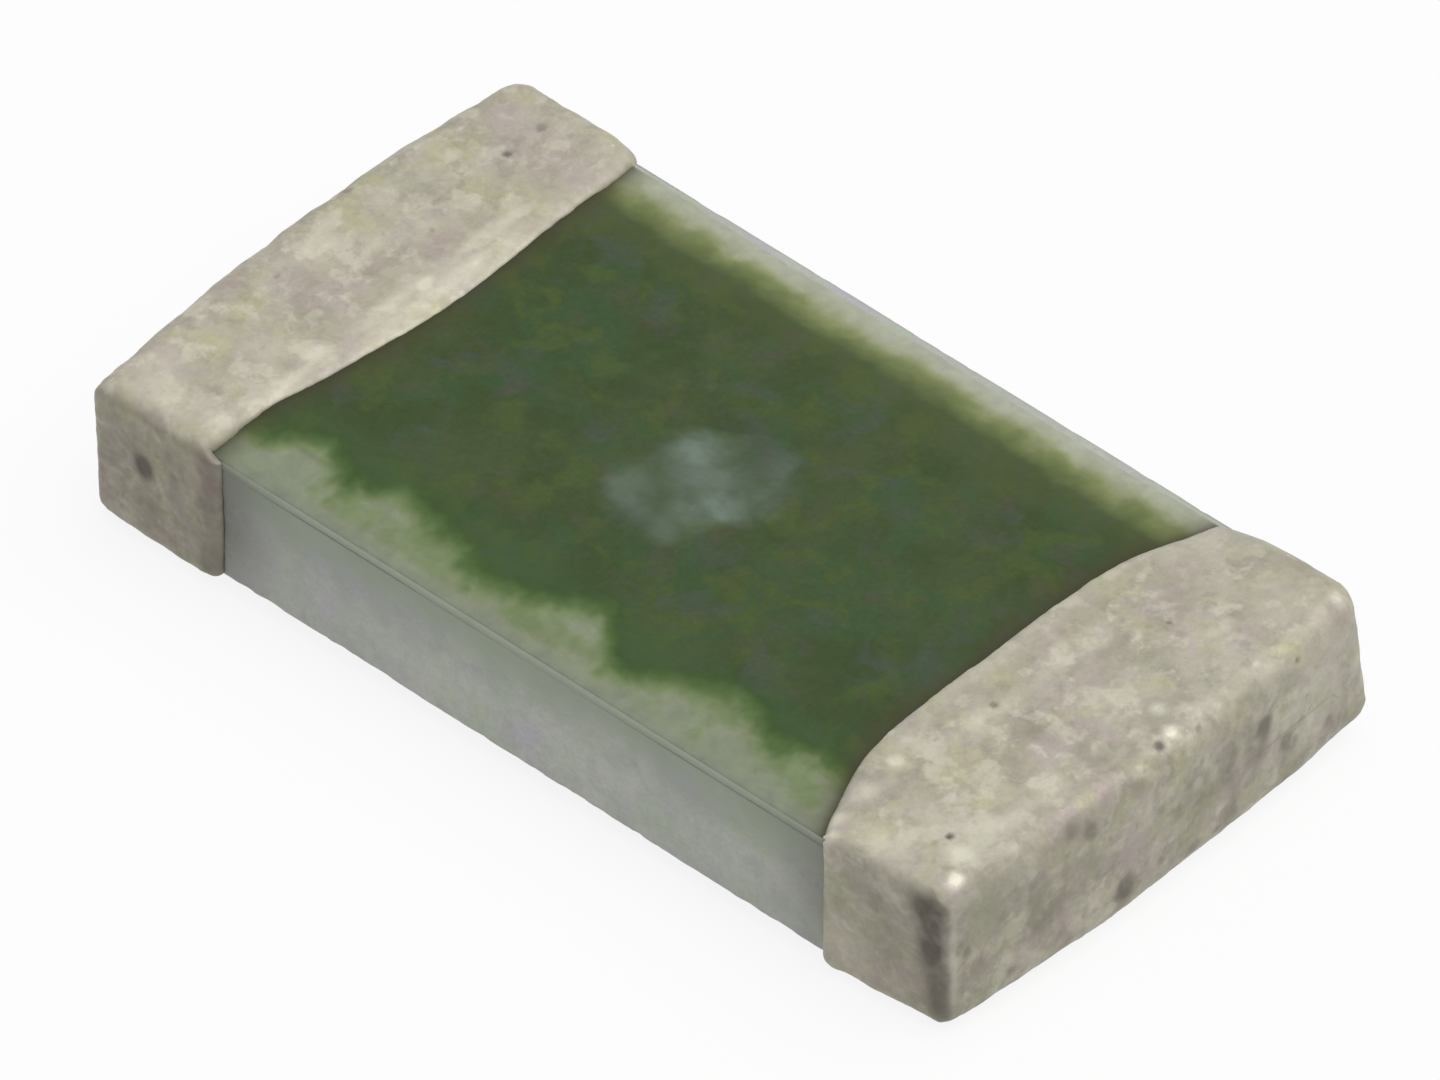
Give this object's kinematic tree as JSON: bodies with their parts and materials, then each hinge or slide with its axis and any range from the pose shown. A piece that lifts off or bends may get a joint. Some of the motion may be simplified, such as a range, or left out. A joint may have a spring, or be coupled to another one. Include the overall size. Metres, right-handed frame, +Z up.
{
  "type": "smd chip fuse",
  "caption": "Flat ceramic surface-mount fuse with a green protective coat over its printed link and a solderable metal cap on each end.",
  "frame": {"origin": "centre of the footprint on the solder plane, under the middle of the part", "axes": "+X along the length from the left cap to the right cap, +Y across the width away from the coat's uneven edge, +Z up from the solder plane to the coated face"},
  "size_m": [0.0032, 0.0016, 0.0005],
  "materials": {
    "alumina": "pale grey unglazed alumina, fine grained and matte",
    "clear_glaze": "thin fired glass, clear with a slight blue-green tone",
    "link_metal": "fired metal film, dull gold",
    "printed_silver": "fired silver film, matte",
    "green_glaze": "dark olive-green protective coat, mottled, satin, paler at its edges",
    "worn_print": null,
    "dipped_silver": "fired silver paste, matte",
    "nickel": "plated nickel, satin",
    "matte_tin": "dull matte tin, grainy, with small dark pits and stains"
  },
  "bodies": {
    "root": {"ceramic_substrate": "alumina", "underglaze": "clear_glaze", "fuse_link": "link_metal", "top_electrode_left": "printed_silver", "top_electrode_right": "printed_silver", "back_electrode_left": "printed_silver", "back_electrode_right": "printed_silver", "glass_passivation": "clear_glaze", "green_overcoat": "green_glaze", "marking": "worn_print", "silver_termination_left": "dipped_silver", "silver_termination_right": "dipped_silver", "nickel_barrier_left": "nickel", "nickel_barrier_right": "nickel", "tin_plating_left": "matte_tin", "tin_plating_right": "matte_tin"}
  },
  "joints": []
}
